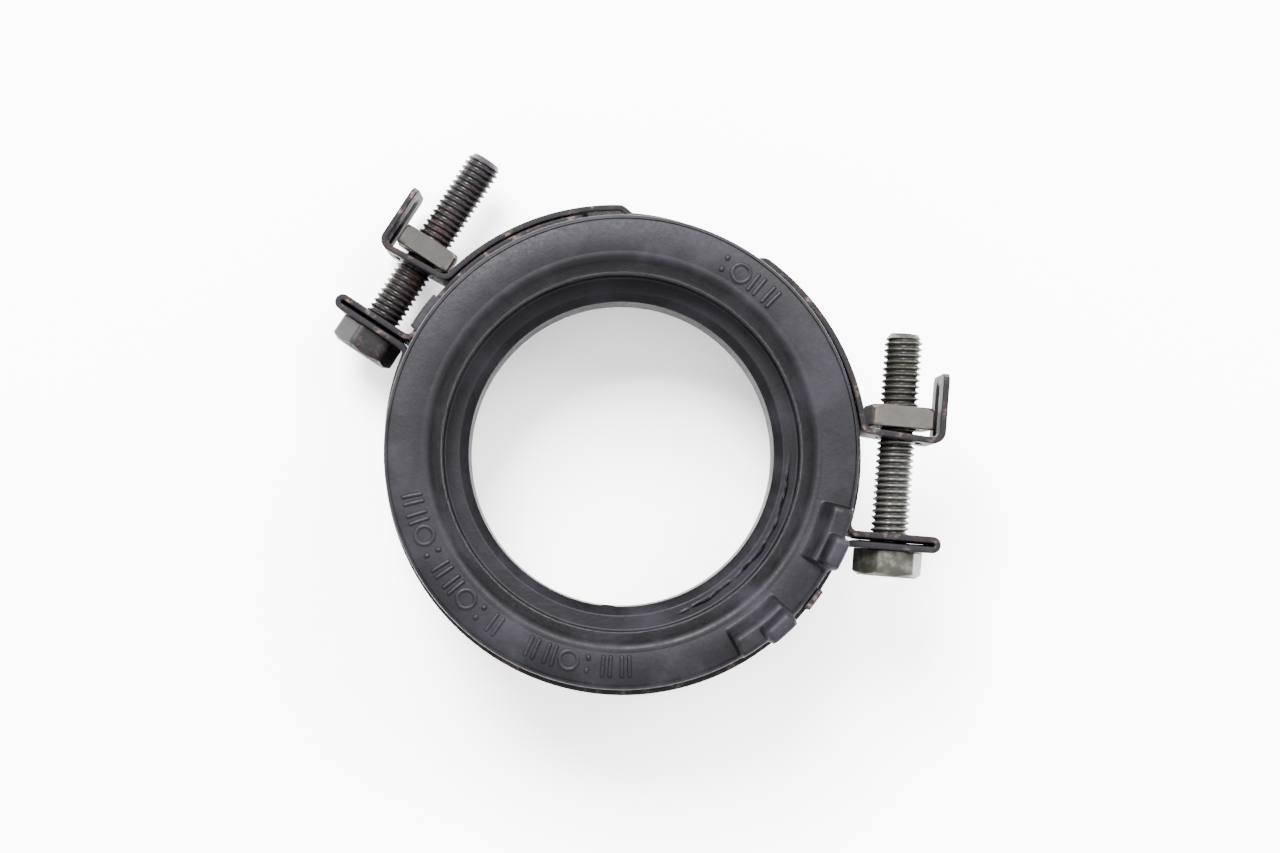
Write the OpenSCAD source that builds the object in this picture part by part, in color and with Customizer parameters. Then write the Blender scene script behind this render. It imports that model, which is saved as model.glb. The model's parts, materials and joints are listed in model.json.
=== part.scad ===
// Short thick-walled rubber sleeve coupling, held on its two pipe stubs by a pair of
// one-piece spring-steel band clamps, each drawn up by a hexagon screw and a square nut.
// Frame: origin on the bore axis in the bottom face, +Z along the bore to the lugged end.

/* [Sleeve bore] */
// Length of the sleeve along the bore
sleeve_l = 30; // [26:0.5:40]
// Diameter of the throat in the middle of the bore
throat_d = 39.6; // [34:0.1:44]
// Diameter of the socket at the top end
top_socket_d = 45.9; // [42:0.1:54]
// Depth of the socket at the top end
top_socket_depth = 8; // [6:0.5:10]
// Diameter of the socket at the bottom end
bottom_socket_d = 46; // [42:0.1:54]
// Depth of the socket at the bottom end
bottom_socket_depth = 12; // [9:0.5:14]
// Radial growth of the flared mouth at the top end
mouth_flare = 1.55; // [0.8:0.05:2]
// Depth of the flared mouth at the top end
mouth_depth = 2.5; // [1.5:0.1:3]

/* [Sleeve outside] */
// Rubber wall under the upper clamp
top_wall = 5.5; // [4.5:0.1:7]
// Rubber wall under the lower clamp
bottom_wall = 4.3; // [3.5:0.1:6]
// Height of the top lip above its groove
top_lip_rise = 1.6; // [1.2:0.1:2.4]
// Thickness of the top lip
top_lip_t = 1.7; // [1.4:0.1:2.5]
// Height of the bottom lip and of the middle rib above the lower groove
bottom_lip_rise = 2.1; // [1.6:0.1:2.6]
// Thickness of the bottom lip
bottom_lip_t = 2.7; // [2:0.1:3.5]
// Radius on the edges of the lips
lip_edge_r = 0.6; // [0.3:0.05:0.65]

/* [Lugs and index boss] */
// Direction of the middle of the slot between the two lugs, in degrees
lug_dir = 323; // [300:1:345]
// Angle of the slot between the two lugs
slot_angle = 12; // [10:0.5:16]
// Angle that each lug covers
lug_angle = 17; // [14:0.5:22]
// Height of the low step of each lug
lug_h = 2; // [1.2:0.1:3]
// Length along the rim of the tall tooth on each lug, in degrees
tooth_angle = 9; // [7:0.5:11]
// Height of the tall tooth on each lug
tooth_h = 4; // [3.5:0.1:5.5]
// Direction of the index boss on the middle rib, in degrees
boss_dir = 144; // [130:1:160]
// Width of the index boss along the rim
boss_w = 5; // [3.5:0.25:7]
// Height of the index boss above the middle rib
boss_rise = 3.2; // [2:0.1:4]

/* [Clamp band] */
// Thickness of the steel strip
strip_t = 0.8; // [0.6:0.05:1]
// Width of the steel strip
strip_w = 10; // [8.5:0.25:12]
// Gap between the tongue and the strip that lies over it
layer_gap = 0.2; // [0.15:0.05:0.4]
// Gap inside the folded ear
fold_gap = 0.5; // [0.3:0.05:0.8]
// Bend radius at the roots of the ears, to the middle of the strip
bend_r = 1.2; // [1:0.1:1.6]
// Angle past the middle of the gap that the tongue reaches
tongue_angle = 50; // [40:1:60]
// Angle past the middle of the gap where the strip steps down off the tongue
step_angle = 58; // [52:1:68]
// Length of the stop flange that keeps the nut from turning
flange_l = 8; // [6:0.25:10]
// Lean of the nut ear towards the screw head, in degrees
ear_lean = 4; // [0:0.5:5]
// Height of the folded ear past the middle of the screw
ear_past_screw = 6.1; // [5:0.1:8]
// Length of the locating tang along the rim
tang_l = 2.9; // [2:0.1:4]
// Height of the locating tang above the edge of the strip
tang_h = 1.4; // [1:0.1:1.6]

/* [Clamp screw and nut] */
// Nominal diameter of the screw
screw_d = 5; // [4:0.5:6]
// Length of the screw under its head
screw_l = 28; // [24:0.5:34]
// Width across the flats of the screw head
head_af = 8; // [7:0.5:10]
// Height of the screw head
head_h = 3.4; // [2.8:0.1:4]
// Width of the square nut
nut_w = 8; // [7:0.5:10]
// Thickness of the square nut
nut_t = 2.8; // [2.2:0.1:4]
// Angle by which the loose nut has turned until its corner meets the flange
nut_turn = 4; // [0:1:10]

/* [Where the clamps stand] */
// Direction of the upper clamp's screw from the bore, in degrees
upper_dir = -4.7; // [-10:0.1:0]
// Width of the upper clamp's gap between its ears
upper_gap = 12.1; // [9:0.1:14]
// Play of the upper clamp around its groove
upper_play = 1; // [0.7:0.05:1.3]
// Direction in which the upper clamp hangs off centre, in degrees
upper_hang_dir = -75; // [-180:1:180]
// Direction of the lower clamp's screw from the bore, in degrees
lower_dir = 146.9; // [140:0.1:150]
// Width of the lower clamp's gap between its ears
lower_gap = 8.3; // [7:0.1:12]
// Play of the lower clamp around its groove
lower_play = 2.6; // [2:0.05:3]
// Direction in which the lower clamp hangs off centre, in degrees
lower_hang_dir = 112; // [0:1:180]

/* [Hidden] */
$fn = 96;

// Clearances
strip_side_clear = 0.3;  // each side of a strip in its groove
hang_clear = 0.45;       // left between band and groove where a clamp hangs closest
nut_seat_gap = 0.4;      // between the nut and its ear
nut_band_gap = 0.25;     // between the nut and the band below it
nut_flange_gap = 0.6;    // between the nut's corner and the stop flange
thread_clear = 0.05;     // radial, screw in nut
hole_clear = 0.3;        // radial, screw in the ears
slot_stretch = 0.6;      // extra length of the nut ear's hole, away from the band
hinge_gap = 0.16;        // between the two halves of a band at its flex point
head_seat_gap = 0.05;    // between the screw head and its ear
cut = 1;                 // overshoot of a cutting solid

// Sleeve radii and heights
throat_r = throat_d / 2;
top_socket_r = top_socket_d / 2;
bottom_socket_r = bottom_socket_d / 2;
top_groove_r = top_socket_r + top_wall;
bottom_groove_r = bottom_socket_r + bottom_wall;
top_lip_r = top_groove_r + top_lip_rise;
rib_r = bottom_groove_r + bottom_lip_rise;
groove_w = strip_w + 2 * strip_side_clear;
upper_z = sleeve_l - top_lip_t - groove_w / 2;
lower_z = bottom_lip_t + groove_w / 2;
rib_top_z = upper_z - groove_w / 2;
rib_bottom_z = lower_z + groove_w / 2;
ledge_z = sleeve_l - top_socket_depth;
ledge_w = 2;             // flat ring that stops the upper stub
throat_chamfer = 1.1;    // height of the slope from the ledge into the throat
lower_slope = 1.6;       // height of the slope from the throat to the lower socket

// Lugs
lug_foot = 1;            // run of the sloped inner face of a lug
lug_inner_r = top_lip_r - 3.5;
lug_proud = 0.1;         // lug and tooth stand out past the lip
tooth_t = 2.5;           // radial thickness of a tall tooth
tooth_proud = 0.7;
lug_back = 0.3;          // lug stands back from the slot, in degrees
tooth_back = 0.8;        // tooth stands back from the slot, in degrees
tooth_edge = 0.5;        // chamfer on a tooth's top edges
boss_edge = 0.8;         // chamfer on the boss's outer corners
boss_inset = 0.1;        // boss stands in from the faces of the rib

// Clamp geometry, in the clamp's own frame: ring axis at the origin, +X through the
// middle of the screw, the screw's head at -Y and its tip at +Y
half_t = strip_t / 2;
fold_pitch = strip_t + fold_gap;
lap_pitch = strip_t + layer_gap;
nut_reach = nut_w / 2 * (cos(nut_turn) + sin(nut_turn));
ear_plate_y = 5.5;       // middle of the nut ear at the screw
flange_bend_r = 1.2;     // bend between the nut ear and its stop flange
step_span = 3.5;         // angle over which the strip steps down off the tongue
arc_step = 3;            // degrees between the points of a wide arc
bend_step = 15;          // degrees between the points of a tight bend
tang_sink = 1.2;         // the tang starts this far below the edge of the strip
tang_in = 0.3;           // inner face of the tang, from the inner face of the strip
tang_dir = lug_dir - 360 - upper_dir;
upper_ring_r = top_groove_r + upper_play;
lower_ring_r = bottom_groove_r + lower_play;
upper_hang = upper_play - hang_clear;
lower_hang = lower_play - hang_clear;
upper_at = [upper_hang * cos(upper_hang_dir), upper_hang * sin(upper_hang_dir), upper_z];
lower_at = [lower_hang * cos(lower_hang_dir), lower_hang * sin(lower_hang_dir), lower_z];
nut_y = ear_plate_y + half_t / cos(ear_lean) + nut_reach * tan(ear_lean) + nut_seat_gap;

// Middle of the screw from the ring axis, for a ring of inner radius ri
function screw_x(ri) =
    sqrt(pow(ri + 2 * strip_t + layer_gap, 2) - pow(nut_y, 2)) + nut_band_gap + nut_reach;
// Middle of the folded ear's thread-side layer, and the seat of the screw head
function fold_y(gap) = ear_plate_y - strip_t - gap;
function seat_y(gap) = fold_y(gap) - fold_pitch - half_t - head_seat_gap;

// Points [x, y, heading] along an arc
function arc(c, r, a0, a1, step) =
    let (n = max(2, ceil(abs(a1 - a0) / step)), turn = a1 > a0 ? 90 : -90)
    [for (i = [0 : n]) let (a = a0 + (a1 - a0) * i / n)
        [c[0] + r * cos(a), c[1] + r * sin(a), a + turn]];

// Centre of the bend, to the right of the line through p with heading h, that joins
// that line to a ring of mid radius ring
function bend_centre(p, h, ring) =
    let (u = [cos(h), sin(h)], q = p + bend_r * [sin(h), -cos(h)], b = q * u,
         root = sqrt(b * b - q * q + pow(ring + bend_r, 2)))
    q + (u[0] > 0 ? root - b : -root - b) * u;

function dir_of(c) = atan2(c[1], c[0]);

// Closed outline of a strip that follows a route
function outline(route) = concat(
    [for (p = route) [p[0] - half_t * sin(p[2]), p[1] + half_t * cos(p[2])]],
    [for (i = [len(route) - 1 : -1 : 0]) let (p = route[i])
        [p[0] + half_t * sin(p[2]), p[1] - half_t * cos(p[2])]]);

// Route of the half band that carries the screw head: flex point, ring, folded ear, tongue
function head_route(ri, gap) =
    let (mid = ri + half_t, x = screw_x(ri), y1 = fold_y(gap) - fold_pitch, y2 = fold_y(gap),
         c1 = bend_centre([x, y1], 0, mid), c2 = bend_centre([x, y2], 180, mid),
         end_x = x + ear_past_screw - half_t - fold_pitch / 2,
         split = hinge_gap / 2 / mid * 180 / PI)
    concat(
        arc([0, 0], mid, split - 180, dir_of(c1), arc_step),
        arc(c1, bend_r, dir_of(c1) + 180, 90, bend_step),
        arc([end_x, y1 + fold_pitch / 2], fold_pitch / 2, -90, 90, bend_step),
        arc(c2, bend_r, 270, dir_of(c2) + 180, bend_step),
        arc([0, 0], mid, dir_of(c2), tongue_angle, arc_step));

// Route of the half band that carries the nut: stop flange, ear, lap, step, flex point
function nut_route(ri) =
    let (mid = ri + half_t, lap = mid + lap_pitch, x = screw_x(ri), h = 180 - ear_lean,
         c3 = bend_centre([x, ear_plate_y], h, lap),
         flange_x = x + nut_reach + nut_flange_gap + half_t,
         bend_x = flange_x - flange_bend_r,
         bend_y = ear_plate_y + flange_bend_r * cos(ear_lean)
             - (bend_x - x - flange_bend_r * sin(ear_lean)) * tan(ear_lean),
         split = hinge_gap / 2 / mid * 180 / PI,
         steps = 6)
    concat(
        [[flange_x, ear_plate_y + half_t + flange_l, 270]],
        arc([bend_x, bend_y], flange_bend_r, 360, h + 90, bend_step),
        arc(c3, bend_r, h + 90, dir_of(c3) + 180, bend_step),
        arc([0, 0], lap, dir_of(c3), step_angle, arc_step),
        [for (i = [1 : steps - 1])
            let (u = i / steps, a = step_angle + step_span * u,
                 r = lap - lap_pitch * u * u * (3 - 2 * u),
                 slope = -lap_pitch * 6 * u * (1 - u) / step_span * 180 / PI)
            [r * cos(a), r * sin(a), a + atan2(r, slope)]],
        arc([0, 0], mid, step_angle + step_span, 180 - split, arc_step));

module strip(route) {
    linear_extrude(height = strip_w, center = true) polygon(outline(route));
}

// Round bar along the screw's axis, from y0 over a length l
module along_screw(ri, y0, l, r) {
    translate([screw_x(ri), y0, 0]) rotate([-90, 0, 0]) cylinder(h = l, r = r);
}

module band_head_side(ri, gap) {
    color("#3b3430") difference() {
        union() {
            strip(head_route(ri, gap));
            // locating tang that stands between the lugs
            sweep = tang_l / ri * 180 / PI;
            rotate([0, 0, tang_dir - sweep / 2]) rotate_extrude(angle = sweep)
                translate([ri + tang_in, strip_w / 2 - tang_sink])
                    square([strip_t, tang_sink + tang_h]);
        }
        along_screw(ri, seat_y(gap) - cut, fold_pitch + strip_t + 3 * cut,
            screw_d / 2 + hole_clear);
    }
}

module band_nut_side(ri) {
    hole_r = screw_d / 2 + hole_clear;
    hole_y = ear_plate_y - strip_t - cut;
    hole_l = 2 * strip_t + 2 * cut;
    color("#3b3430") difference() {
        strip(nut_route(ri));
        // hole lengthened away from the band, because the ear swings as it opens
        along_screw(ri, hole_y, hole_l, hole_r);
        translate([slot_stretch, 0, 0]) along_screw(ri, hole_y, hole_l, hole_r);
        translate([screw_x(ri), hole_y, -hole_r]) cube([slot_stretch, hole_l, 2 * hole_r]);
    }
}

module square_nut(ri) {
    crown_r = nut_w * 0.7;
    color("#a39b8e") translate([screw_x(ri), nut_y, 0]) rotate([-90, 0, 0])
        rotate([0, 0, nut_turn]) difference() {
            intersection() {
                translate([-nut_w / 2, -nut_w / 2, 0]) cube([nut_w, nut_w, nut_t]);
                // corners of the outer face are turned off
                cylinder(h = nut_t, r1 = crown_r + nut_t, r2 = crown_r - 0.6);
            }
            translate([0, 0, -cut]) cylinder(h = nut_t + 2 * cut, r = screw_d / 2 + thread_clear);
        }
}

module hex_screw(ri, gap) {
    crown_r = head_af * 0.54;
    tip_l = 0.8;
    tip_r = screw_d / 2 - 0.5;
    color("#6e6a62") translate([screw_x(ri), seat_y(gap), 0]) rotate([-90, 0, 0]) {
        cylinder(h = screw_l - tip_l, r = screw_d / 2);
        translate([0, 0, screw_l - tip_l]) cylinder(h = tip_l, r1 = screw_d / 2, r2 = tip_r);
        // head with its far corners turned off
        translate([0, 0, -head_h]) intersection() {
            cylinder(h = head_h, d = head_af / cos(30), $fn = 6);
            cylinder(h = head_h, r1 = crown_r, r2 = crown_r + head_h * 1.6);
        }
    }
}

// The upper clamp stands with its head towards -Y, the lower one is the same part turned over
module at_upper() {
    translate(upper_at) rotate([0, 0, upper_dir]) children();
}

module at_lower() {
    translate(lower_at) rotate([0, 0, lower_dir]) rotate([180, 0, 0]) children();
}

// Quarter-round corner for the sleeve's section
function corner(r, z, a0, a1) =
    [for (i = [0 : 4]) let (a = a0 + (a1 - a0) * i / 4)
        [r + lip_edge_r * cos(a), z + lip_edge_r * sin(a)]];

module sleeve_section() {
    e = lip_edge_r;
    top_lip_z = sleeve_l - top_lip_t;
    polygon(concat(
        [[bottom_socket_r, 0]],
        corner(rib_r - e, e, -90, 0),
        corner(rib_r - e, bottom_lip_t - e, 0, 90),
        [[bottom_groove_r, bottom_lip_t], [bottom_groove_r, rib_bottom_z]],
        corner(rib_r - e, rib_bottom_z + e, -90, 0),
        corner(rib_r - e, rib_top_z - e, 0, 90),
        [[top_groove_r, rib_top_z], [top_groove_r, top_lip_z]],
        corner(top_lip_r - e, top_lip_z + e, -90, 0),
        corner(top_lip_r - e, sleeve_l - e, 0, 90),
        [[top_socket_r + mouth_flare, sleeve_l],
         [top_socket_r, sleeve_l - mouth_depth], [top_socket_r, ledge_z],
         [top_socket_r - ledge_w, ledge_z],
         [throat_r, ledge_z - throat_chamfer],
         [throat_r, bottom_socket_depth + lower_slope],
         [bottom_socket_r, bottom_socket_depth]]));
}

// Block of rubber over part of a ring: section turned through an angle from a0
module ring_piece(a0, sweep) {
    rotate([0, 0, a0]) rotate_extrude(angle = sweep) children();
}

module lug(a0, tooth_a0) {
    base_z = sleeve_l - top_lip_t / 2;
    out_r = top_lip_r + lug_proud;
    tooth_r = top_lip_r + tooth_proud;
    tooth_in = tooth_r - tooth_t;
    tooth_z = sleeve_l + tooth_h;
    ring_piece(a0, lug_angle) polygon([
        [lug_inner_r - lug_foot * top_lip_t / 2 / lug_h, base_z],
        [lug_inner_r + lug_foot, sleeve_l + lug_h],
        [out_r, sleeve_l + lug_h], [out_r, base_z]]);
    ring_piece(tooth_a0, tooth_angle) polygon([
        [tooth_in, base_z], [tooth_in + tooth_edge / 2, tooth_z - tooth_edge],
        [tooth_in + 2 * tooth_edge, tooth_z], [tooth_r - tooth_edge, tooth_z],
        [tooth_r, tooth_z - tooth_edge], [tooth_r, base_z - tooth_edge / 2]]);
}

module rubber_sleeve() {
    boss_r = rib_r + boss_rise;
    boss_side = boss_w / 2;
    color("#2d2b30") union() {
        rotate_extrude() sleeve_section();
        lug(lug_dir - slot_angle / 2 - lug_back - lug_angle,
            lug_dir - slot_angle / 2 - tooth_back - tooth_angle);
        lug(lug_dir + slot_angle / 2 + lug_back, lug_dir + slot_angle / 2 + tooth_back);
        // index boss, with its outer corners turned off
        rotate([0, 0, boss_dir]) translate([0, 0, rib_bottom_z + boss_inset])
            linear_extrude(height = rib_top_z - rib_bottom_z - 2 * boss_inset)
                polygon([[bottom_groove_r, -boss_side], [boss_r - boss_edge, -boss_side],
                    [boss_r, boss_edge - boss_side], [boss_r, boss_side - boss_edge],
                    [boss_r - boss_edge, boss_side], [bottom_groove_r, boss_side]]);
    }
}

module upper_band_head_side() { at_upper() band_head_side(upper_ring_r, upper_gap); }
module upper_band_nut_side() { at_upper() band_nut_side(upper_ring_r); }
module upper_nut() { at_upper() square_nut(upper_ring_r); }
module upper_screw() { at_upper() hex_screw(upper_ring_r, upper_gap); }
module lower_band_head_side() { at_lower() band_head_side(lower_ring_r, lower_gap); }
module lower_band_nut_side() { at_lower() band_nut_side(lower_ring_r); }
module lower_nut() { at_lower() square_nut(lower_ring_r); }
module lower_screw() { at_lower() hex_screw(lower_ring_r, lower_gap); }

rubber_sleeve();
upper_band_head_side();
upper_band_nut_side();
upper_nut();
upper_screw();
lower_band_head_side();
lower_band_nut_side();
lower_nut();
lower_screw();
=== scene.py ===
"""Looks of a sleeve coupling: moulded rubber sleeve, two sprung steel bands, screws and nuts."""
import json
import math
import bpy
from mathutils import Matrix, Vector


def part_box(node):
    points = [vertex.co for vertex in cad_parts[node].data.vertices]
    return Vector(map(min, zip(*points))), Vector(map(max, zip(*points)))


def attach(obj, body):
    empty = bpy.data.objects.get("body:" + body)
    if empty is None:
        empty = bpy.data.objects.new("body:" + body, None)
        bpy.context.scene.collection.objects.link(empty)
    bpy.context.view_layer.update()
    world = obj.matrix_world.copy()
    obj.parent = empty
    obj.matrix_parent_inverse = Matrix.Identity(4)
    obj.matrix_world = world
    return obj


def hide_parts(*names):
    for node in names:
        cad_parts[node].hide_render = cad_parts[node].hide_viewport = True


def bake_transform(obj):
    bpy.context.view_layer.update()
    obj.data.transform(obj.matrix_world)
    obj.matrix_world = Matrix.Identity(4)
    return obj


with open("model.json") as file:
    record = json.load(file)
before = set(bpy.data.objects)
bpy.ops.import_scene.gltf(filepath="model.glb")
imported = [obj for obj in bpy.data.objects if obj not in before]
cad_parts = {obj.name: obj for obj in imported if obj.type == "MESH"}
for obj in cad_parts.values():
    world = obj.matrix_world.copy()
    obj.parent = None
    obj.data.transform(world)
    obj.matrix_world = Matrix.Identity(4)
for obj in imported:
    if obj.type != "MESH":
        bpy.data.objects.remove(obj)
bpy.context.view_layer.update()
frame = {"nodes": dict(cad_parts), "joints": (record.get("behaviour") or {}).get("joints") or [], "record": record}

from types import SimpleNamespace

import bmesh
import bpy
import numpy as np
from bpy.props import FloatProperty, FloatVectorProperty, PointerProperty
from bpy.types import Operator, Panel, PropertyGroup
from mathutils import Matrix, Vector

bl_info = {
    "name": "Sleeve coupling",
    "version": (1, 0, 0),
    "blender": (4, 5, 0),
    "location": "View3D > Sidebar > Coupling",
    "description": "Builds the visible pieces of a rubber sleeve coupling with two band clamps",
    "category": "Mesh",
}

MM = 0.001
PITCH = 0.8            # lead of the screw thread, mm
TOOTH_INSET = 0.5      # from the slot's edge to a tooth, degrees
CLAMPS = ("upper", "lower")
JOINTS = {joint["name"]: joint for joint in frame["joints"]}
MOUNTS = {mount["name"]: mount for mount in frame["record"]["mounts"]}


# ---------------------------------------------------------------- sizes and colours

def length(name, description, default_mm):
    return FloatProperty(name=name, description=description, default=default_mm * MM,
                         min=0.0, precision=5, unit="LENGTH", subtype="DISTANCE")


def angle(name, description, default_deg):
    return FloatProperty(name=name, description=description, default=math.radians(default_deg),
                         unit="ROTATION", subtype="ANGLE")


def colour(name, description, default):
    return FloatVectorProperty(name=name, description=description, default=default,
                               size=3, min=0.0, max=1.0, subtype="COLOR")


class CouplingSleeveSizes(PropertyGroup):
    """Sizes of the moulded rubber sleeve."""
    lip_r: length("Top lip radius", "Outer radius of the top lip", 30.05)
    lip_t: length("Top lip thickness", "Thickness of the top lip", 1.7)
    rib_r: length("Rib radius", "Outer radius of the middle rib and the bottom lip", 29.4)
    top_groove_r: length("Top groove radius", "Radius under the upper clamp", 28.45)
    bottom_groove_r: length("Bottom groove radius", "Radius under the lower clamp", 27.3)
    groove_w: length("Groove width", "Width of each clamp groove", 10.6)
    bottom_lip_t: length("Bottom lip thickness", "Thickness of the bottom lip", 2.7)
    mouth_flare: length("Mouth flare", "Radial growth of the flared mouth", 1.55)
    throat_r: length("Throat radius", "Radius of the bore's narrow middle", 19.8)
    ledge_w: length("Ledge width", "Width of the ring that stops the upper stub", 2.0)
    crown: length("Crown", "Fall of the top face from its middle to its edges", 0.22)
    tooth_h: length("Tooth height", "Height of the tall teeth above the rim", 4.0)
    lug_h: length("Lug height", "Height of the low step of each lug", 2.0)
    tooth_t: length("Tooth thickness", "Radial thickness of a tall tooth", 2.5)
    tooth_proud: length("Tooth overhang", "How far a tooth stands out past the lip", 0.7)
    boss_w: length("Boss width", "Width of the index boss along the rim", 5.0)
    boss_rise: length("Boss height", "Height of the index boss above the rib", 3.2)
    mark_h: length("Mark height", "Height of the raised marks on the top face", 0.15)
    lug_dir: angle("Lug direction", "Middle of the slot between the lugs", 323)
    slot: angle("Slot", "Angle of the slot between the lugs", 12.6)
    lug: angle("Lug", "Angle that each lug covers", 17)
    tooth: angle("Tooth", "Angle that each tall tooth covers", 9)
    boss_dir: angle("Boss direction", "Middle of the index boss", 144)


class CouplingClampSizes(PropertyGroup):
    """Sizes of the clamp bands, screws and nuts."""
    strip_t: length("Strip thickness", "Thickness of the steel strip", 0.8)
    strip_w: length("Strip width", "Width of the steel strip", 10.0)
    edge_r: length("Strip edge", "Radius on the edges of the strip", 0.17)
    layer_gap: length("Lap gap", "Gap between the tongue and the strip over it", 0.2)
    fold_gap: length("Fold gap", "Gap inside the folded ear", 0.5)
    bend_r: length("Bend radius", "Radius at the roots of the ears", 1.2)
    flange_bend_r: length("Flange bend", "Radius between the nut ear and its stop flange", 1.2)
    flange_l: length("Flange length", "Length of the stop flange", 8.0)
    ear_y: length("Nut ear", "Middle of the nut ear from the clamp's centre line", 5.5)
    past_screw: length("Folded ear", "Height of the folded ear past the screw", 6.1)
    nut_flange: length("Nut flange gap", "Gap between the nut's corner and the flange", 0.6)
    hole_r: length("Hole radius", "Radius of the screw holes in the ears", 2.8)
    hole_stretch: length("Hole stretch", "Extra length of the hole in the nut ear", 0.6)
    tang_l: length("Tang length", "Length of the locating tang along the rim", 2.9)
    tang_h: length("Tang height", "Height of the tang above the strip's edge", 1.4)
    tang_in: length("Tang offset", "Inner face of the tang from that of the strip", 0.3)
    screw_l: length("Screw length", "Length of the screw under its head", 28.0)
    screw_r: length("Screw radius", "Radius over the screw's crests", 2.48)
    thread_h: length("Thread depth", "Depth of the screw's thread", 0.46)
    head_af: length("Head across flats", "Width of the screw head", 8.0)
    head_h: length("Head height", "Height of the screw head", 3.4)
    nut_w: length("Nut width", "Width of the square nut", 8.0)
    nut_t: length("Nut thickness", "Thickness of the square nut", 2.8)
    ear_lean: angle("Ear lean", "Lean of the nut ear towards the screw head", 4)
    tongue: angle("Tongue reach", "Where the tongue ends, from the screw", 50)
    step: angle("Step", "Where the strip steps down off the tongue", 58)
    step_span: angle("Step span", "Angle over which the strip steps down", 3.5)
    tang_dir: angle("Tang direction", "Middle of the tang, from the screw", -32.3)
    nut_turn: angle("Nut turn", "How far the loose nut has turned in its pocket", 4)


class CouplingFinish(PropertyGroup):
    """Colours of the four finishes."""
    rubber_dark: colour("Rubber", "Clean moulded rubber", (0.0005, 0.00045, 0.0008))
    # Also the colour of the painted highlight on the tooth and lug tops, besides the real bloom
    rubber_bloom_and_sheen: colour("Rubber bloom", "Hazy, handled rubber", (0.0048, 0.0043, 0.0060))
    dust: colour("Dust", "Specks of dust on the rubber", (0.0075, 0.0070, 0.0088))
    # Also the colour of the painted shade in the screws' thread roots, besides the real blackened strip
    oxide_and_root_shade: colour("Black oxide", "Blackened strip", (0.0050, 0.0046, 0.0055))
    patina: colour("Brown patina", "Thin brown rust on the strip", (0.014, 0.008, 0.006))
    bare: colour("Bare edge", "Strip worn to bare metal", (0.070, 0.050, 0.043))
    nut_grey: colour("Phosphate", "Dull coating of the nuts", (0.0215, 0.0193, 0.0162))
    rust: colour("Rust", "Rust in the threads and corners", (0.020, 0.0068, 0.0036))
    zinc: colour("Zinc", "Plating left on the upper screw", (0.082, 0.082, 0.072))
    olive: colour("Olive film", "Old oil and plating on the screws", (0.0100, 0.0094, 0.0066))
    dark_steel: colour("Dark steel", "Tarnished lower screw", (0.011, 0.0098, 0.0082))


def in_mm(group):
    """The group's lengths in millimetres and its angles in degrees."""
    values = {}
    for key, prop in group.bl_rna.properties.items():
        if prop.type == "FLOAT" and not prop.is_array:
            factor = 180 / math.pi if prop.unit == "ROTATION" else 1 / MM
            values[key] = getattr(group, key) * factor
    return SimpleNamespace(**values)


# ---------------------------------------------------------------- mesh helpers

def smooth(t):
    """Eased step from 0 at t = 0 to 1 at t = 1."""
    t = np.clip(t, 0.0, 1.0)
    return t * t * (3 - 2 * t)


def window(a, low, high, soft):
    """1 inside low..high, falling to 0 over soft outside each end."""
    return smooth((a - low) / soft + 1) * smooth((high - a) / soft + 1)


def polar(r, degrees, *z):
    """Points (x, y), or (x, y, z), at radius r and an angle round the origin."""
    a = np.radians(degrees)
    return np.stack(np.broadcast_arrays(r * np.cos(a), r * np.sin(a), *z), axis=-1)


def rounded(corners, segments=5):
    """Closed outline through (x, y, radius) corners, each rounded by an arc."""
    points = []
    count = len(corners)
    for i, (x, y, radius) in enumerate(corners):
        here = np.array([x, y])
        before = np.array(corners[i - 1][:2]) - here
        after = np.array(corners[(i + 1) % count][:2]) - here
        before /= np.linalg.norm(before)
        after /= np.linalg.norm(after)
        half = math.acos(np.clip(before @ after, -1, 1)) / 2
        if radius == 0 or abs(half - math.pi / 2) < 1e-4:
            points.append(here)
            continue
        reach = radius / math.tan(half)
        middle = here + (before + after) / np.linalg.norm(before + after) * radius / math.sin(half)
        start = here + before * reach - middle
        end = here + after * reach - middle
        sweep = math.atan2(start[0] * end[1] - start[1] * end[0], start @ end)
        for k in range(segments + 1):
            turn = sweep * k / segments
            c, s = math.cos(turn), math.sin(turn)
            points.append(middle + [c * start[0] - s * start[1], s * start[0] + c * start[1]])
    return np.array(points)


def resampled(outline, step_at):
    """A closed outline with long edges split; step_at(x, y) gives the longest step there."""
    points = []
    for i, p in enumerate(outline):
        q = outline[(i + 1) % len(outline)]
        n = max(1, math.ceil(np.linalg.norm(q - p) / step_at(*((p + q) / 2))))
        points += [p + (q - p) * k / n for k in range(n)]
    return np.array(points)


def grid_faces(rows, columns, rows_closed, columns_closed, first=0):
    """Quads over a grid of vertices stored row by row."""
    i = np.arange(rows if rows_closed else rows - 1)[:, None]
    j = np.arange(columns if columns_closed else columns - 1)[None, :]
    i2, j2 = (i + 1) % rows, (j + 1) % columns
    quads = np.stack(np.broadcast_arrays(i * columns + j, i * columns + j2,
                                         i2 * columns + j2, i2 * columns + j), axis=-1)
    return (quads.reshape(-1, 4) + first).tolist()


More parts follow.
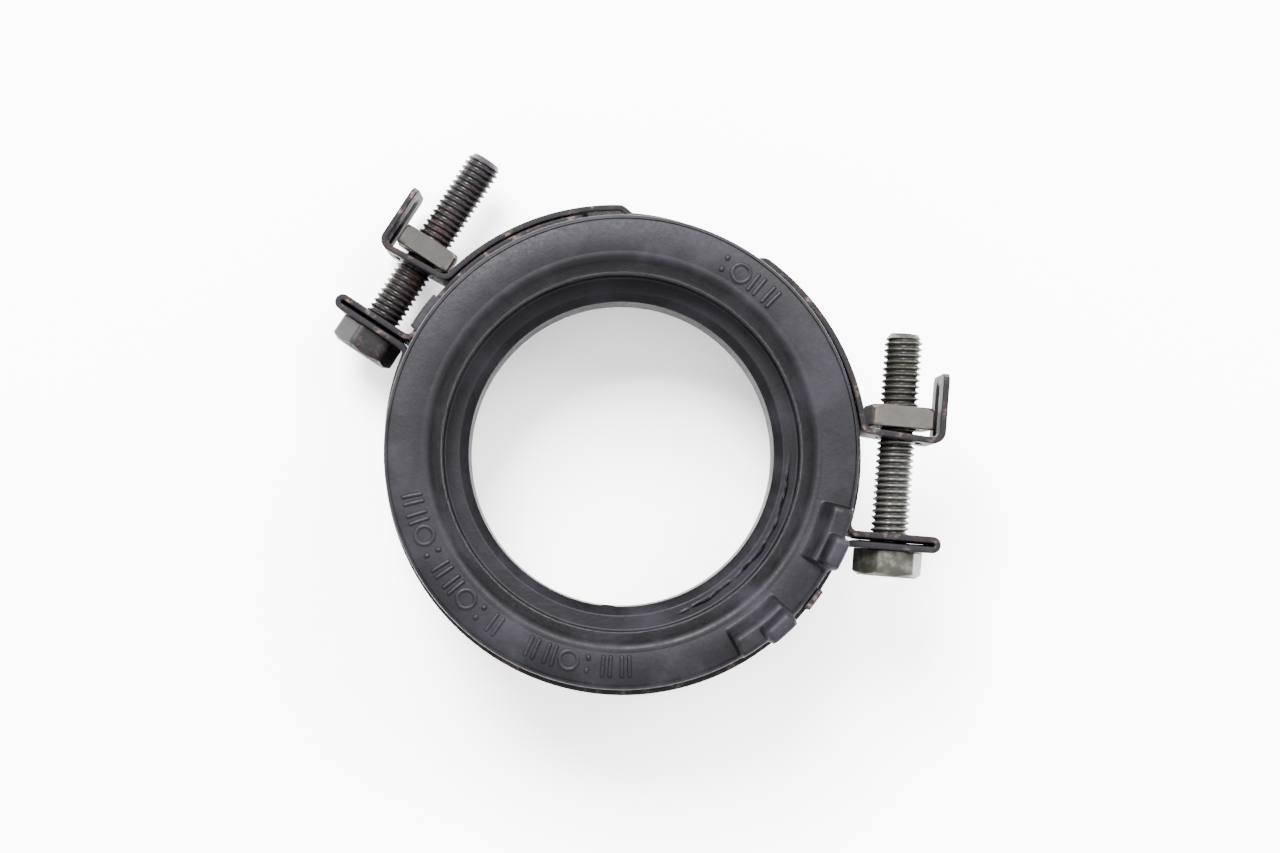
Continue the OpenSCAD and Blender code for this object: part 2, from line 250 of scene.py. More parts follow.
class Shell:
    """Collects vertices, faces and per-vertex masks for one piece."""

    def __init__(self):
        self.points, self.faces, self.slots, self.masks = [], [], [], {}
        self.count = 0

    def add(self, points, faces, slot=0, **masks):
        points = np.asarray(points, float).reshape(-1, 3)
        for name in sorted(set(masks) | set(self.masks)):
            held = self.masks.setdefault(name, [np.zeros(self.count)])
            values = np.asarray(masks.get(name, 0.0), float).reshape(-1)
            held.append(np.broadcast_to(values, (len(points),)))
        self.points.append(points)
        self.faces += [[v + self.count for v in face] for face in faces]
        self.slots += [slot] * len(faces)
        self.count += len(points)

    def tube(self, rings, slot=0, **masks):
        """Closed tube of rings (rows x columns x 3) with a flat cap at each end."""
        rows, columns = rings.shape[:2]
        caps = [list(range(columns))[::-1], [(rows - 1) * columns + k for k in range(columns)]]
        self.add(rings, grid_faces(rows, columns, False, True) + caps, slot, **masks)

    def build(self, name, materials, matrix=Matrix.Identity(4)):
        """Makes the object, with outward normals, smooth shading and sharp edges marked."""
        mesh = bpy.data.meshes.new(name)
        points = np.concatenate(self.points)
        place = np.array(matrix)
        points = (points @ place[:3, :3].T + place[:3, 3]) * MM
        mesh.from_pydata(points.tolist(), [], self.faces)
        for key, held in self.masks.items():
            layer = mesh.attributes.new(key, "FLOAT", "POINT")
            layer.data.foreach_set("value", np.concatenate(held).astype(np.float32))
        for material in materials:
            mesh.materials.append(material)
        mesh.polygons.foreach_set("material_index", self.slots)
        mesh.validate()
        piece = bpy.data.objects.new(name, mesh)
        bpy.context.scene.collection.objects.link(piece)
        return tidy_mesh(piece)


def tidy_mesh(piece, sharp_deg=38):
    """Outward normals, smooth faces, and sharp edges where faces meet at more than sharp_deg."""
    work = bmesh.new()
    work.from_mesh(piece.data)
    bmesh.ops.recalc_face_normals(work, faces=work.faces)
    for face in work.faces:
        face.smooth = True
    for edge in work.edges:
        if len(edge.link_faces) == 2:
            edge.smooth = edge.calc_face_angle(0.0) < math.radians(sharp_deg)
    work.to_mesh(piece.data)
    work.free()
    return piece


def cut_away(piece, cutter):
    """Takes cutter's volume out of piece, for good."""
    modifier = piece.modifiers.new("cut", "BOOLEAN")
    modifier.operation = "DIFFERENCE"
    modifier.solver = "EXACT"
    modifier.object = cutter
    bpy.context.view_layer.update()
    evaluated = piece.evaluated_get(bpy.context.evaluated_depsgraph_get())
    mesh = bpy.data.meshes.new_from_object(evaluated)
    piece.modifiers.clear()
    old, piece.data = piece.data, mesh
    bpy.data.meshes.remove(old)
    bpy.data.objects.remove(cutter)
    mesh.name = piece.name
    return tidy_mesh(piece)


def finish_piece(piece, body, nodes=()):
    """Says what the piece rides on and the nodes that it stands for."""
    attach(piece, body)
    if nodes:
        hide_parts(*nodes)
    return piece


# ---------------------------------------------------------------- materials

class Graph:
    """A material's node tree around one Principled shader. Sizes are in millimetres."""

    def __init__(self, name, **sockets):
        self.material = bpy.data.materials.new(name)
        self.material.use_nodes = True
        self.tree = self.material.node_tree
        self.tree.nodes.clear()
        self.shader = self.add("ShaderNodeBsdfPrincipled", sockets)
        output = self.add("ShaderNodeOutputMaterial")
        self.tree.links.new(self.shader.outputs["BSDF"], output.inputs["Surface"])
        self.coords = self.add("ShaderNodeTexCoord").outputs["Object"]

    def add(self, kind, sockets=None, **settings):
        node = self.tree.nodes.new(kind)
        for key, value in settings.items():
            setattr(node, key, value)
        for key, value in (sockets or {}).items():
            self.give(node.inputs[key], value)
        return node

    def give(self, socket, value):
        if isinstance(value, bpy.types.NodeSocket):
            self.tree.links.new(value, socket)
        elif socket.type == "RGBA":
            socket.default_value = (*value, 1.0)
        else:
            socket.default_value = value

    def set(self, name, value):
        self.give(self.shader.inputs[name], value)

    def noise(self, size, detail, roughness, distortion=0.0):
        """Soft noise from 0 to 1, with blotches about size across."""
        node = self.add("ShaderNodeTexNoise", {"Vector": self.coords, "Scale": 1 / (size * MM),
                                               "Detail": detail, "Roughness": roughness,
                                               "Distortion": distortion})
        return node.outputs[0]

    def mask(self, name):
        """One of the masks kept on the mesh's vertices."""
        return self.add("ShaderNodeAttribute", attribute_name=name).outputs["Fac"]

    def span(self, value, low, high, to_low=0.0, to_high=1.0):
        """Eases from to_low at low to to_high at high."""
        node = self.add("ShaderNodeMapRange", {"Value": value, "From Min": low, "From Max": high,
                                               "To Min": to_low, "To Max": to_high},
                        interpolation_type="SMOOTHSTEP")
        return node.outputs["Result"]

    def maths(self, operation, a, b):
        node = self.add("ShaderNodeMath", operation=operation)
        self.give(node.inputs[0], a)
        self.give(node.inputs[1], b)
        return node.outputs[0]

    def total(self, *terms):
        """Sum of (value, weight) terms."""
        parts = [self.maths("MULTIPLY", value, weight) for value, weight in terms]
        result = parts[0]
        for part in parts[1:]:
            result = self.maths("ADD", result, part)
        return result

    def mix(self, factor, a, b):
        node = self.add("ShaderNodeMix", data_type="RGBA")
        for key, value in (("Factor_Float", factor), ("A_Color", a), ("B_Color", b)):
            self.give(next(s for s in node.inputs if s.identifier == key), value)
        return next(s for s in node.outputs if s.identifier == "Result_Color")

    def bump(self, height, distance, strength, below=None):
        node = self.add("ShaderNodeBump", {"Height": height, "Distance": distance * MM,
                                           "Strength": strength})
        if below is not None:
            self.give(node.inputs["Normal"], below)
        return node.outputs["Normal"]


def rubber_material(finish, name="moulded_rubber"):
    """Dark moulded rubber with a pale bloom in patches, dust specks and a fine grain. The bloom is pushed up on
    the tooth and lug tops as a painted highlight, and on the lip's rim as scuff.
    """
    g = Graph(name, IOR=1.5)
    g.set("Specular IOR Level", 0.10)
    g.set("Specular Tint", (0.95, 0.94, 1.0))
    bloom = g.noise(7.0, 5.0, 0.6)
    grain = g.noise(0.45, 3.0, 0.6)
    specks = g.noise(0.16, 2.0, 0.5)
    # Haze is bloom noise plus a small lift from the height mask: painted highlight on the tooth and lug tops,
    # scuff on the lip's rim
    haze_and_top_sheen = g.span(g.total((bloom, 1.0), (g.mask("scuff"), 0.06)), 0.42, 0.74)
    base = g.mix(haze_and_top_sheen, finish.rubber_dark, finish.rubber_bloom_and_sheen)
    dust = g.span(g.noise(0.9, 4.0, 0.7), 0.66, 0.78, 0.0, 0.5)
    g.set("Base Color", g.mix(dust, base, finish.dust))
    g.set("Roughness", g.span(g.total((bloom, 0.7), (grain, 0.5)), 0.35, 0.85, 0.40, 0.64))
    soft = g.bump(g.noise(3.5, 2.0, 0.5), 0.16, 0.22)
    fine = g.bump(grain, 0.05, 0.55, soft)
    g.set("Normal", g.bump(specks, 0.018, 0.5, fine))
    return g.material


def band_material(finish, name):
    """Blackened strip with brown patches, rust spots and edges worn to metal here and there."""
    g = Graph(name, IOR=1.2)
    g.set("Specular IOR Level", 0.15)
    tone = g.noise(5.0, 5.0, 0.62)
    chips = g.noise(0.8, 4.0, 0.65, 0.4)
    fine = g.noise(0.22, 3.0, 0.6)
    brown = g.span(g.total((tone, 1.0), (chips, 0.5)), 0.74, 1.12)
    base = g.mix(brown, finish.oxide_and_root_shade, finish.patina)
    worn = g.span(g.total((g.mask("edge"), 0.30), (g.noise(1.7, 6.0, 0.72), 0.9)), 0.77, 0.99)
    rust = g.span(g.noise(1.1, 5.0, 0.72), 0.62, 0.72)
    rusty = g.mix(g.maths("MULTIPLY", rust, 0.75), base, finish.rust)
    g.set("Base Color", g.mix(worn, rusty, finish.bare))
    g.set("Metallic", g.span(worn, 0.0, 1.0, 0.0, 0.85))
    g.set("Roughness", g.span(g.total((fine, 1.0), (rust, 0.6)), 0.25, 1.1, 0.42, 0.75))
    g.set("Normal", g.bump(fine, 0.014, 0.5, g.bump(chips, 0.04, 0.45)))
    return g.material


def screw_material(finish, name, metal, film, rust_from):
    """Plated or tarnished screw: brighter between the ears, filmed past the nut, rust in spots, and painted shade
    darkening the thread's roots.
    """
    g = Graph(name, IOR=1.3)
    g.set("Specular IOR Level", 0.4)
    tone = g.noise(2.6, 5.0, 0.65)
    patch = g.noise(0.7, 5.0, 0.7, 0.3)
    root = g.mask("root")
    # The roots lean towards the film colour here and towards the dark oxide colour below: painted shade in the
    # thread's hollows
    filmed = g.span(g.total((tone, 1.2), (g.mask("between"), -0.30), (root, 0.5)), 0.22, 0.70)
    rust = g.span(g.total((patch, 1.0), (g.mask("middle"), 0.12)), rust_from, rust_from + 0.12)
    shade = g.mix(g.span(root, 0.25, 0.95), g.mix(filmed, metal, film), finish.oxide_and_root_shade)
    base = g.mix(g.maths("MULTIPLY", rust, 0.8), shade, finish.rust)
    worn = g.span(g.total((g.mask("edge"), 1.0), (patch, 0.6)), 1.05, 1.6)
    g.set("Base Color", g.mix(worn, base, finish.bare))
    # Roots also lose their metal shine, part of the painted shade in the hollows
    dull = g.total((rust, 1.0), (filmed, 1.0), (root, 1.0))
    g.set("Metallic", g.span(dull, 0.0, 1.6, 0.8, 0.0))
    g.set("Roughness", g.span(g.total((tone, 1.0), (rust, 1.0)), 0.2, 1.6, 0.34, 0.75))
    g.set("Normal", g.bump(patch, 0.03, 0.4, g.bump(g.noise(0.16, 3.0, 0.6), 0.012, 0.45)))
    return g.material


def nut_material(finish, name, lighter):
    """Dull phosphated nut, stained in the thread and rubbed on its edges."""
    g = Graph(name, IOR=1.6)
    g.set("Specular IOR Level", 0.3)
    cloud = g.noise(2.2, 5.0, 0.66)
    speck = g.noise(0.3, 4.0, 0.7)
    light = tuple(c * lighter for c in finish.nut_grey)
    base = g.mix(g.span(cloud, 0.3, 0.75), tuple(c * 0.55 for c in light), light)
    stain = g.span(g.total((g.noise(1.2, 5.0, 0.7), 1.0), (g.mask("root"), 0.2)),
                   0.60, 0.76, 0.0, 0.7)
    worn = g.span(g.total((g.mask("edge"), 0.7), (cloud, 0.6)), 0.72, 1.05)
    g.set("Base Color", g.mix(worn, g.mix(stain, base, finish.rust), finish.bare))
    g.set("Metallic", g.span(worn, -0.35, 0.85, 0.45, 0.9))
    g.set("Roughness", g.span(speck, 0.25, 0.8, 0.38, 0.62))
    g.set("Normal", g.bump(speck, 0.022, 0.5, g.bump(cloud, 0.05, 0.3)))
    return g.material


# ---------------------------------------------------------------- rubber sleeve

def face_height(s):
    """Height of the sleeve's top face, under the tips of its teeth."""
    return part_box("rubber_sleeve")[1].z / MM - s.tooth_h


def sleeve_outline(s):
    """Closed section (radius, height) of the sleeve, sampled finely where it carries detail."""
    top = face_height(s)
    socket, heel = MOUNTS["top_socket"], MOUNTS["bottom_socket"]
    socket_r, heel_r = socket["dims"]["r_mm"], heel["dims"]["r_mm"]
    middle = socket["pos_m"][2] / MM
    ledge = middle - socket["dims"]["length_mm"] / 2
    mouth = middle + socket["dims"]["length_mm"] / 2
    heel_z = heel["dims"]["length_mm"]
    under = s.bottom_lip_t
    rib_low, rib_high = under + s.groove_w, top - s.lip_t - s.groove_w
    corners = [
        (heel_r, 0, 0.25), (s.rib_r, 0, 0.6), (s.rib_r, under, 0.6),
        (s.bottom_groove_r, under, 0.25), (s.bottom_groove_r, rib_low, 0.25),
        (s.rib_r, rib_low, 0.5), (s.rib_r, rib_high, 0.5),
        (s.top_groove_r, rib_high, 0.25), (s.top_groove_r, top - s.lip_t, 0.25),
        (s.lip_r, top - s.lip_t, 0.55), (s.lip_r, top, 0.55),
        (socket_r + s.mouth_flare, top, 1.5), (socket_r, mouth, 0.7), (socket_r, ledge, 0.25),
        (socket_r - s.ledge_w, ledge, 0.25), (s.throat_r, ledge - 1.1, 0.3),
        (s.throat_r, heel_z + 1.6, 0.4), (heel_r, heel_z, 0.3)]

    def step(r, z):
        if z > top - 0.05 and r > 25.9:
            return 0.12
        if abs(z - ledge) < 0.05 or (abs(z - mouth) < 0.8 and r < socket_r + 0.7):
            return 0.1
        return 0.7

    return resampled(rounded(corners, 4), step), top, ledge


def sleeve_angles(s):
    """Angles of the grid's columns, close together at each lug, tooth and boss edge, and the
    boss's half angle."""
    edges = []
    for side in (-1, 1):
        near = s.lug_dir + side * s.slot / 2
        tooth = near + side * TOOTH_INSET
        edges += [near, near + side * s.lug, tooth, tooth + side * s.tooth]
    half = math.degrees(s.boss_w / 2 / s.rib_r)
    edges += [s.boss_dir - half, s.boss_dir + half]
    angles = set(np.round(np.arange(0, 360, 2.0), 3))
    angles |= set(np.round(np.arange(290, 352, 0.75), 3))
    for edge in edges:
        angles |= set(np.round(np.arange(edge - 0.9, edge + 0.91, 0.15), 3))
    return np.array(sorted(angles)), half


def on_both_sides(a, s, inset, span, soft):
    """Windows of an angle, one each side of the slot, that start inset from its edges."""
    near, far = s.lug_dir - s.slot / 2 - inset, s.lug_dir + s.slot / 2 + inset
    return window(a, near - span + soft, near - soft, soft) \
        + window(a, far + soft, far + span - soft, soft)


def build_sleeve(s, materials):
    """Turns the outline into a grid, then raises the lugs, teeth, boss and moulding flash."""
    outline, top, ledge = sleeve_outline(s)
    a, boss_half = sleeve_angles(s)
    r0, z0, a = outline[:, :1], outline[:, 1:], a[None, :]
    r, z = r0 + 0 * a, z0 + 0 * a
    t = np.radians(a)

    # lugs with a ramped inner side, and teeth that climb from them and stand past the lip
    flank = 1.15                                     # degrees over which a lug's side falls
    lug = on_both_sides(a, s, 0.0, s.lug, flank)
    tooth = on_both_sides(a, s, TOOTH_INSET, s.tooth, flank)
    upper_rows = (z0 > top - 0.58) & (r0 > 24.6)
    ramp = smooth((r0 - (s.lip_r - 4.3)) / 2.2)
    wall_r = s.lip_r + s.tooth_proud - s.tooth_t
    climb = smooth((r0 - wall_r + 0.35) / 1.1)
    rise = upper_rows * (s.lug_h * lug * ramp + (s.tooth_h - s.lug_h) * tooth * climb)
    z += rise
    proud = np.where(upper_rows, smooth((r0 - wall_r - 0.4) / 0.8),
                     smooth((z0 - top + 1.35) / 0.4) * (r0 > s.lip_r - 0.6))
    r += proud * (s.tooth_proud - 0.05) * tooth

    # the top face falls a little from its middle to its edges
    flat = (z0 > top - 0.02) & (r0 > 24)
    z -= flat * s.crown * ((r0 - 27.1) / 2.4) ** 2 * (1 - np.clip(lug, 0, 1) * ramp)

    # index boss on the middle rib
    boss = window(a, s.boss_dir - boss_half + 0.35, s.boss_dir + boss_half - 0.35, 0.35)
    low, high = s.bottom_lip_t + s.groove_w, top - s.lip_t - s.groove_w
    on_rib = (z0 > low - 0.01) & (z0 < high + 0.01) & (r0 > s.top_groove_r + 0.3)
    r += on_rib * (s.boss_rise - 0.03) * boss

    # ragged flash round part of the ledge, and one nick in the throat's edge
    ragged = 0.55 + 0.3 * np.sin(17 * t) + 0.25 * np.sin(41 * t + 1) + 0.2 * np.sin(83 * t)
    flash_r = 21.75 + 0.10 * np.sin(9 * t) + 0.07 * np.sin(31 * t + 2)
    flash = np.clip(ragged, 0, 1) * np.exp(-((r0 - flash_r) / 0.13) ** 2)
    z += (np.abs(z0 - ledge) < 0.02) * 0.32 * flash * window(a, 294, 356, 5)
    r -= 0.35 * np.exp(-((a - 265) / 1.3) ** 2 - ((z0 - ledge + 1.1) / 0.35) ** 2) * (r0 < 21)

    # the outside isn't quite round
    swell = 0.05 * np.sin(2 * t + 0.6) + 0.03 * np.sin(5 * t + 1.1)
    r += swell * (r0 > s.bottom_groove_r - 0.1) * (r0 < s.lip_r - 0.1)

    # Mask that lightens the rubber: by height on the lugs and teeth, a painted highlight on their tops; on the
    # lip's outer rim, scuff
    scuff = np.clip(rise / s.tooth_h, 0, 1) + 0.5 * upper_rows * (r0 > s.lip_r - 0.5)
    shell = Shell()
    shell.add(polar(r, a, z), grid_faces(len(outline), a.shape[1], True, True),
              scuff=np.broadcast_to(scuff, r.shape))
    return shell.build("rubber_sleeve_skin", materials)


def build_marks(s, materials):
    """Plain raised bars, dots and rings round the top face."""
    shell = Shell()
    top = face_height(s)

    # Each mark carries a quarter of the lighter-rubber mask: partly painted highlight on its raised top, partly
    # scuff
    def dome(r, degrees, long, wide, tilt=0.0):
        rows = np.linspace(0, 1, 6)[:, None]
        k = np.linspace(0, 2 * math.pi, 16, endpoint=False)[None, :]
        x = np.cos(k) * wide * np.cos(rows * math.pi / 2) ** 0.5
        y = np.sin(k) * wide * np.cos(rows * math.pi / 2) ** 0.5
        y = y + np.sign(np.round(np.sin(k), 6)) * (long - wide)
        z = top - 0.30 + (s.mark_h + 0.3) * np.sin(rows * math.pi / 2)
        turn = math.radians(degrees - 90 + tilt)
        middle = polar(r, degrees)
        px = middle[0] + x * math.cos(turn) - y * math.sin(turn)
        py = middle[1] + x * math.sin(turn) + y * math.cos(turn)
        shell.tube(np.stack(np.broadcast_arrays(px, py, z), axis=-1), scuff=0.25)

    def ring(r, degrees, size):
        k = np.linspace(0, 2 * math.pi, 28, endpoint=False)[:, None]
        j = np.linspace(0, 2 * math.pi, 8, endpoint=False)[None, :]
        middle = polar(r, degrees)
        reach = size + 0.3 * np.cos(j)
        points = np.stack(np.broadcast_arrays(
            middle[0] + reach * np.cos(k), middle[1] + reach * np.sin(k),
            top - 0.02 + (s.mark_h - 0.02) * np.sin(j)), axis=-1)
        shell.add(points, grid_faces(28, 8, True, True), scuff=0.25)

    for first, count, radius in ((46.0, 4, 27.1), (193.0, 9, 27.0), (245.5, 6, 27.1)):
        for i in range(count):
            at = first + i * 5.1
            if i % 4 == 2:
                ring(radius, at, 1.15)
            elif i % 4 == 3:
                dome(radius + 0.8, at, 0.45, 0.38)
                dome(radius - 0.8, at, 0.45, 0.38)
            else:
                dome(radius, at - 1.0, 1.45, 0.33)
                dome(radius, at + 1.0, 1.45, 0.33)
    return shell.build("moulded_marks", materials)


# ---------------------------------------------------------------- clamps

class Clamp:
    """One clamp's place and sizes, read off the fixed frame. Its own frame has the ring's axis at
    the origin, +X through the middle of the screw, the head at -Y and the tip at +Y."""

    def __init__(self, name, c):
        self.name, self.c = name, c
        ring = Vector(JOINTS[name + "_clamp_turn"]["pos_m"])
        axis = Vector(JOINTS[name + "_screw_turn"]["axis"]).normalized()
        screw = Vector(JOINTS[name + "_screw_turn"]["pos_m"])
        low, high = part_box(name + "_screw")
        foot = screw - axis * (screw - ring).dot(axis)
        foot.z = ring.z
        if axis.dot((low + high) / 2 - foot) < 0:
            axis = -axis
        x = (foot - ring).normalized()
        z = x.cross(axis)
        self.up = 1 if z.z > 0 else -1
        self.matrix = Matrix(((x.x, axis.x, z.x, ring.x / MM), (x.y, axis.y, z.y, ring.y / MM),
                              (x.z, axis.z, z.z, ring.z / MM), (0, 0, 0, 1)))
        self.half = c.strip_t / 2
        self.fold = c.strip_t + c.fold_gap
        self.lap = c.strip_t + c.layer_gap
        self.screw_x = (foot - ring).length / MM
        inner = self.local(name + "_band_head_side")
        self.ring_r = float(np.min(np.hypot(inner[:, 0], inner[:, 1])))
        self.mid = self.ring_r + self.half
        self.seat_y = float(self.local(name + "_screw")[:, 1].max()) - c.screw_l
        self.nut_y = float(self.local(name + "_nut")[:, 1].min())
        self.fold_y = float(inner[:, 1][inner[:, 0] > self.screw_x].max()) - self.half
        self.nut_reach = c.nut_w / 2 * (math.cos(math.radians(c.nut_turn))
                                        + math.sin(math.radians(c.nut_turn)))

    def local(self, node):
        """The node's vertices in the clamp's own frame, in millimetres."""
        points = np.array([v.co for v in frame["nodes"][node].data.vertices]) / MM
        back = np.array(self.matrix.inverted())
        return points @ back[:3, :3].T + back[:3, 3]


def arc(centre, r, a0, a1, step):
    """Points (x, y, heading) along an arc."""
    n = max(2, math.ceil(abs(a1 - a0) / step))
    a = np.linspace(a0, a1, n + 1)
    xy = polar(r, a) + np.asarray(centre)
    return np.column_stack([xy, a + (90 if a1 > a0 else -90)])


def bend_centre(p, heading, ring, radius):
    """Centre of the bend that joins the line through p to a ring round the origin."""
    h = math.radians(heading)
    u = np.array([math.cos(h), math.sin(h)])
    q = np.array(p) + radius * np.array([math.sin(h), -math.cos(h)])
    b = q @ u
    root = math.sqrt(b * b - q @ q + (ring + radius) ** 2)
    return q + (root - b if u[0] > 0 else -root - b) * u


def direction(c):
    """Angle of a point round the origin, in degrees."""
    return math.degrees(math.atan2(c[1], c[0]))


def densified(route, step=0.5):
    """The route with its straight runs split."""
    points = [route[0]]
    for p, q in zip(route[:-1], route[1:]):
        if abs((p[2] - q[2] + 180) % 360 - 180) < 0.01:
            n = max(1, math.ceil(math.hypot(*(q - p)[:2]) / step))
            points += [p + (q - p) * k / n for k in range(1, n)]
        points.append(q)
    return np.array(points)


def nut_route(k):
    """Stop flange, nut ear, lap over the tongue, step down, and round to the flex point."""
    c = k.c
    lap, h = k.mid + k.lap, 180 - c.ear_lean
    lean = math.radians(c.ear_lean)
    c3 = bend_centre([k.screw_x, c.ear_y], h, lap, c.bend_r)
    flange_x = k.screw_x + k.nut_reach + c.nut_flange + k.half
    bend_x = flange_x - c.flange_bend_r
    bend_y = c.ear_y + c.flange_bend_r * math.cos(lean) \
        - (bend_x - k.screw_x - c.flange_bend_r * math.sin(lean)) * math.tan(lean)
    u = np.linspace(0, 1, 9)[1:-1]
    a = c.step + c.step_span * u
    r = lap - k.lap * smooth(u)
    slope = -k.lap * 6 * u * (1 - u) / math.radians(c.step_span)
    step = np.column_stack([polar(r, a), a + np.degrees(np.arctan2(r, slope))])
    return np.concatenate([
        [[flange_x, c.ear_y + k.half + c.flange_l, 270]],
        arc([bend_x, bend_y], c.flange_bend_r, 360, h + 90, 7),
        arc(c3, c.bend_r, h + 90, direction(c3) + 180, 7),
        arc([0, 0], lap, direction(c3), c.step, 1.5), step,
        arc([0, 0], k.mid, c.step + c.step_span, 180, 1.5)])


def head_routes(k):
    """The main run from the flex point round to the folded ear, and the tongue after it."""
    c = k.c
    y1 = k.fold_y - k.fold
    c1 = bend_centre([k.screw_x, y1], 0, k.mid, c.bend_r)
    c2 = bend_centre([k.screw_x, k.fold_y], 180, k.mid, c.bend_r)
    end_x = k.screw_x + c.past_screw - k.half - k.fold / 2
    seam = [c2[0] + 0.35, k.fold_y, 180]
    tang = math.degrees(c.tang_l / 2 / k.ring_r)
    ring = arc([0, 0], k.mid, -180, direction(c1), 1.5)
    fine = [arc([0, 0], k.mid, c.tang_dir + side * tang - 0.6, c.tang_dir + side * tang + 0.6, 0.12)
            for side in (-1, 1)]
    turned = ring[:, 2] - 90
    for piece in fine:
        keep = (turned < piece[0][2] - 90) | (turned > piece[-1][2] - 90)
        ring = np.concatenate([ring[keep], piece])
        ring = ring[np.argsort(ring[:, 2])]
        turned = ring[:, 2] - 90
    main = np.concatenate([
        ring, arc(c1, c.bend_r, direction(c1) + 180, 90, 7),
        arc([end_x, y1 + k.fold / 2], k.fold / 2, -90, 90, 11), [seam]])
    tongue = np.concatenate([
        [seam], arc(c2, c.bend_r, 270, direction(c2) + 180, 7),
        arc([0, 0], k.mid, direction(c2), c.tongue, 1.5)])
    return main, tongue


def strip_section(c):
    """Rounded section (across the thickness, across the width) with its edge mask."""
    half_t, half_w = c.strip_t / 2, c.strip_w / 2
    corners = [(x, z, c.edge_r) for x, z in ((-half_t, -half_w), (half_t, -half_w),
                                             (half_t, half_w), (-half_t, half_w))]

    def step(x, z):
        return 0.2 if abs(z) > half_w - 1.4 else 0.55

    section = resampled(rounded(corners, 3), step)
    to_edge = half_w - np.abs(section[:, 1])
    return section, np.clip(1 - to_edge / 0.55, 0, 1)


def build_strip(k, name, route, materials, start_free, end_free, with_tang=False):
    """Sweeps the strip's section along a route. Free ends get rounded corners, and the folded
    ear is pinched shut below its upper edge."""
    c = k.c
    route = densified(route)
    section, edge = strip_section(c)
    steps = np.hypot(*np.diff(route[:, :2], axis=0).T)
    s = np.concatenate([[0], np.cumsum(steps)])
    n = section[None, :, 0] + np.zeros((len(route), 1))
    z = section[None, :, 1] + np.zeros((len(route), 1))
    masks = edge[None, :] + np.zeros((len(route), 1))
    corner_r = 1.1
    for free, run in ((start_free, s), (end_free, s[-1] - s)):
        if free:
            left = np.clip(corner_r - run, 0, corner_r)
            drop = corner_r - np.sqrt(np.clip(corner_r ** 2 - left ** 2, 0, None))
            z *= (1 - drop / (c.strip_w / 2))[:, None]
            masks = np.maximum(masks, np.clip(1 - run / 0.5, 0, 1)[:, None])
    folded = (route[:, 0] > k.screw_x - 4.5) & (route[:, 1] < k.fold_y + 0.05)
    pinch = folded[:, None] * smooth((4.3 - z * k.up) / 1.2) * (n > 0)
    n = n + (c.fold_gap / 2 - 0.05) * pinch
    if start_free:
        # shallow groove pressed along the inner face of the stop flange
        along, start = s[:, None], 1.6
        width = 1.5 * np.clip(1 - (start - along) / 1.5, 0.0, 1) ** 0.5
        press = window(along, start, c.flange_l - 0.4, 0.8) \
            * window(np.abs(z), -1, width - 0.7, 0.8)
        n = n + 0.38 * press * (n < 0)
    if with_tang:
        # locating tang, drawn up out of the strip's edge
        away = np.abs(route[:, 2] - 90 - c.tang_dir) * math.radians(1) * k.ring_r
        lift = (1 - smooth((away - c.tang_l / 2 + 0.12) / 0.24))[:, None]
        top = smooth((z - c.strip_w / 2 + 1.1) / 0.9)
        z = z + c.tang_h * lift * top
        n = n - c.tang_in * lift * top
        masks = np.maximum(masks, lift * top)
    h = np.radians(route[:, 2])[:, None]
    points = np.stack([route[:, :1] - n * np.sin(h), route[:, 1:2] + n * np.cos(h), z], axis=-1)
    shell = Shell()
    shell.tube(points, edge=masks)
    return shell.build(name, materials, k.matrix)


def hole_cutter(k, y0, y1, stretch):
    """Round or lengthened hole through an ear, along the screw."""
    a = np.radians(np.linspace(0, 360, 64, endpoint=False) + 2.8)
    x = k.screw_x + k.c.hole_r * np.cos(a) + stretch * (np.cos(a) > 0)
    z = k.c.hole_r * np.sin(a)
    rings = np.stack([np.column_stack([x, np.full_like(x, y), z]) for y in (y0, y1)])
    shell = Shell()
    shell.tube(rings)
    return shell.build(k.name + "_hole", [], k.matrix)


def build_band(k, materials):
    """The one-piece band, and its tongue, which rides on the clamp's body."""
    main, tongue = head_routes(k)
    whole = np.concatenate([nut_route(k)[:-1], main])
    band = build_strip(k, k.name + "_band", whole, materials, True, False, True)
    y = k.fold_y
    band = cut_away(band, hole_cutter(k, y - k.fold - 1.2, y + 1.2, 0.0))
    band = cut_away(band, hole_cutter(k, k.c.ear_y - 1.4, k.c.ear_y + 1.4, k.c.hole_stretch))
    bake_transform(band)
    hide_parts(k.name + "_band_head_side", k.name + "_band_nut_side")
    end_piece = build_strip(k, k.name + "_band_tongue", tongue, materials, False, True)
    finish_piece(end_piece, k.name + "_clamp")


# ---------------------------------------------------------------- screws and nuts

def thread_depth(y, turn):
    """0 on a crest to 1 in a root of the right-hand thread, at height y and angle turn."""
    u = np.mod(y / PITCH - turn / (2 * math.pi), 1.0)
    return np.clip((2 * np.minimum(u, 1 - u) - 0.14) / 0.68, 0, 1)


def polygon_columns(sides, face_at, bevel, count):
    """Angles round a prism, with a pair at each corner, and the radius factor at each."""
    pitch = 360 / sides
    limit = pitch / 2 - bevel
    local = np.linspace(-limit, limit, count)
    a = np.concatenate([face_at + i * pitch + local for i in range(sides)])
    factor = np.tile(1 / np.cos(np.radians(local)), sides)
    return np.radians(a), factor


def around(k, r, y, turn):
    """Points at radius r about the screw's axis, at height y along it."""
    x = k.screw_x + r * np.sin(turn)
    return np.stack(np.broadcast_arrays(x, y, r * np.cos(turn)), axis=-1)


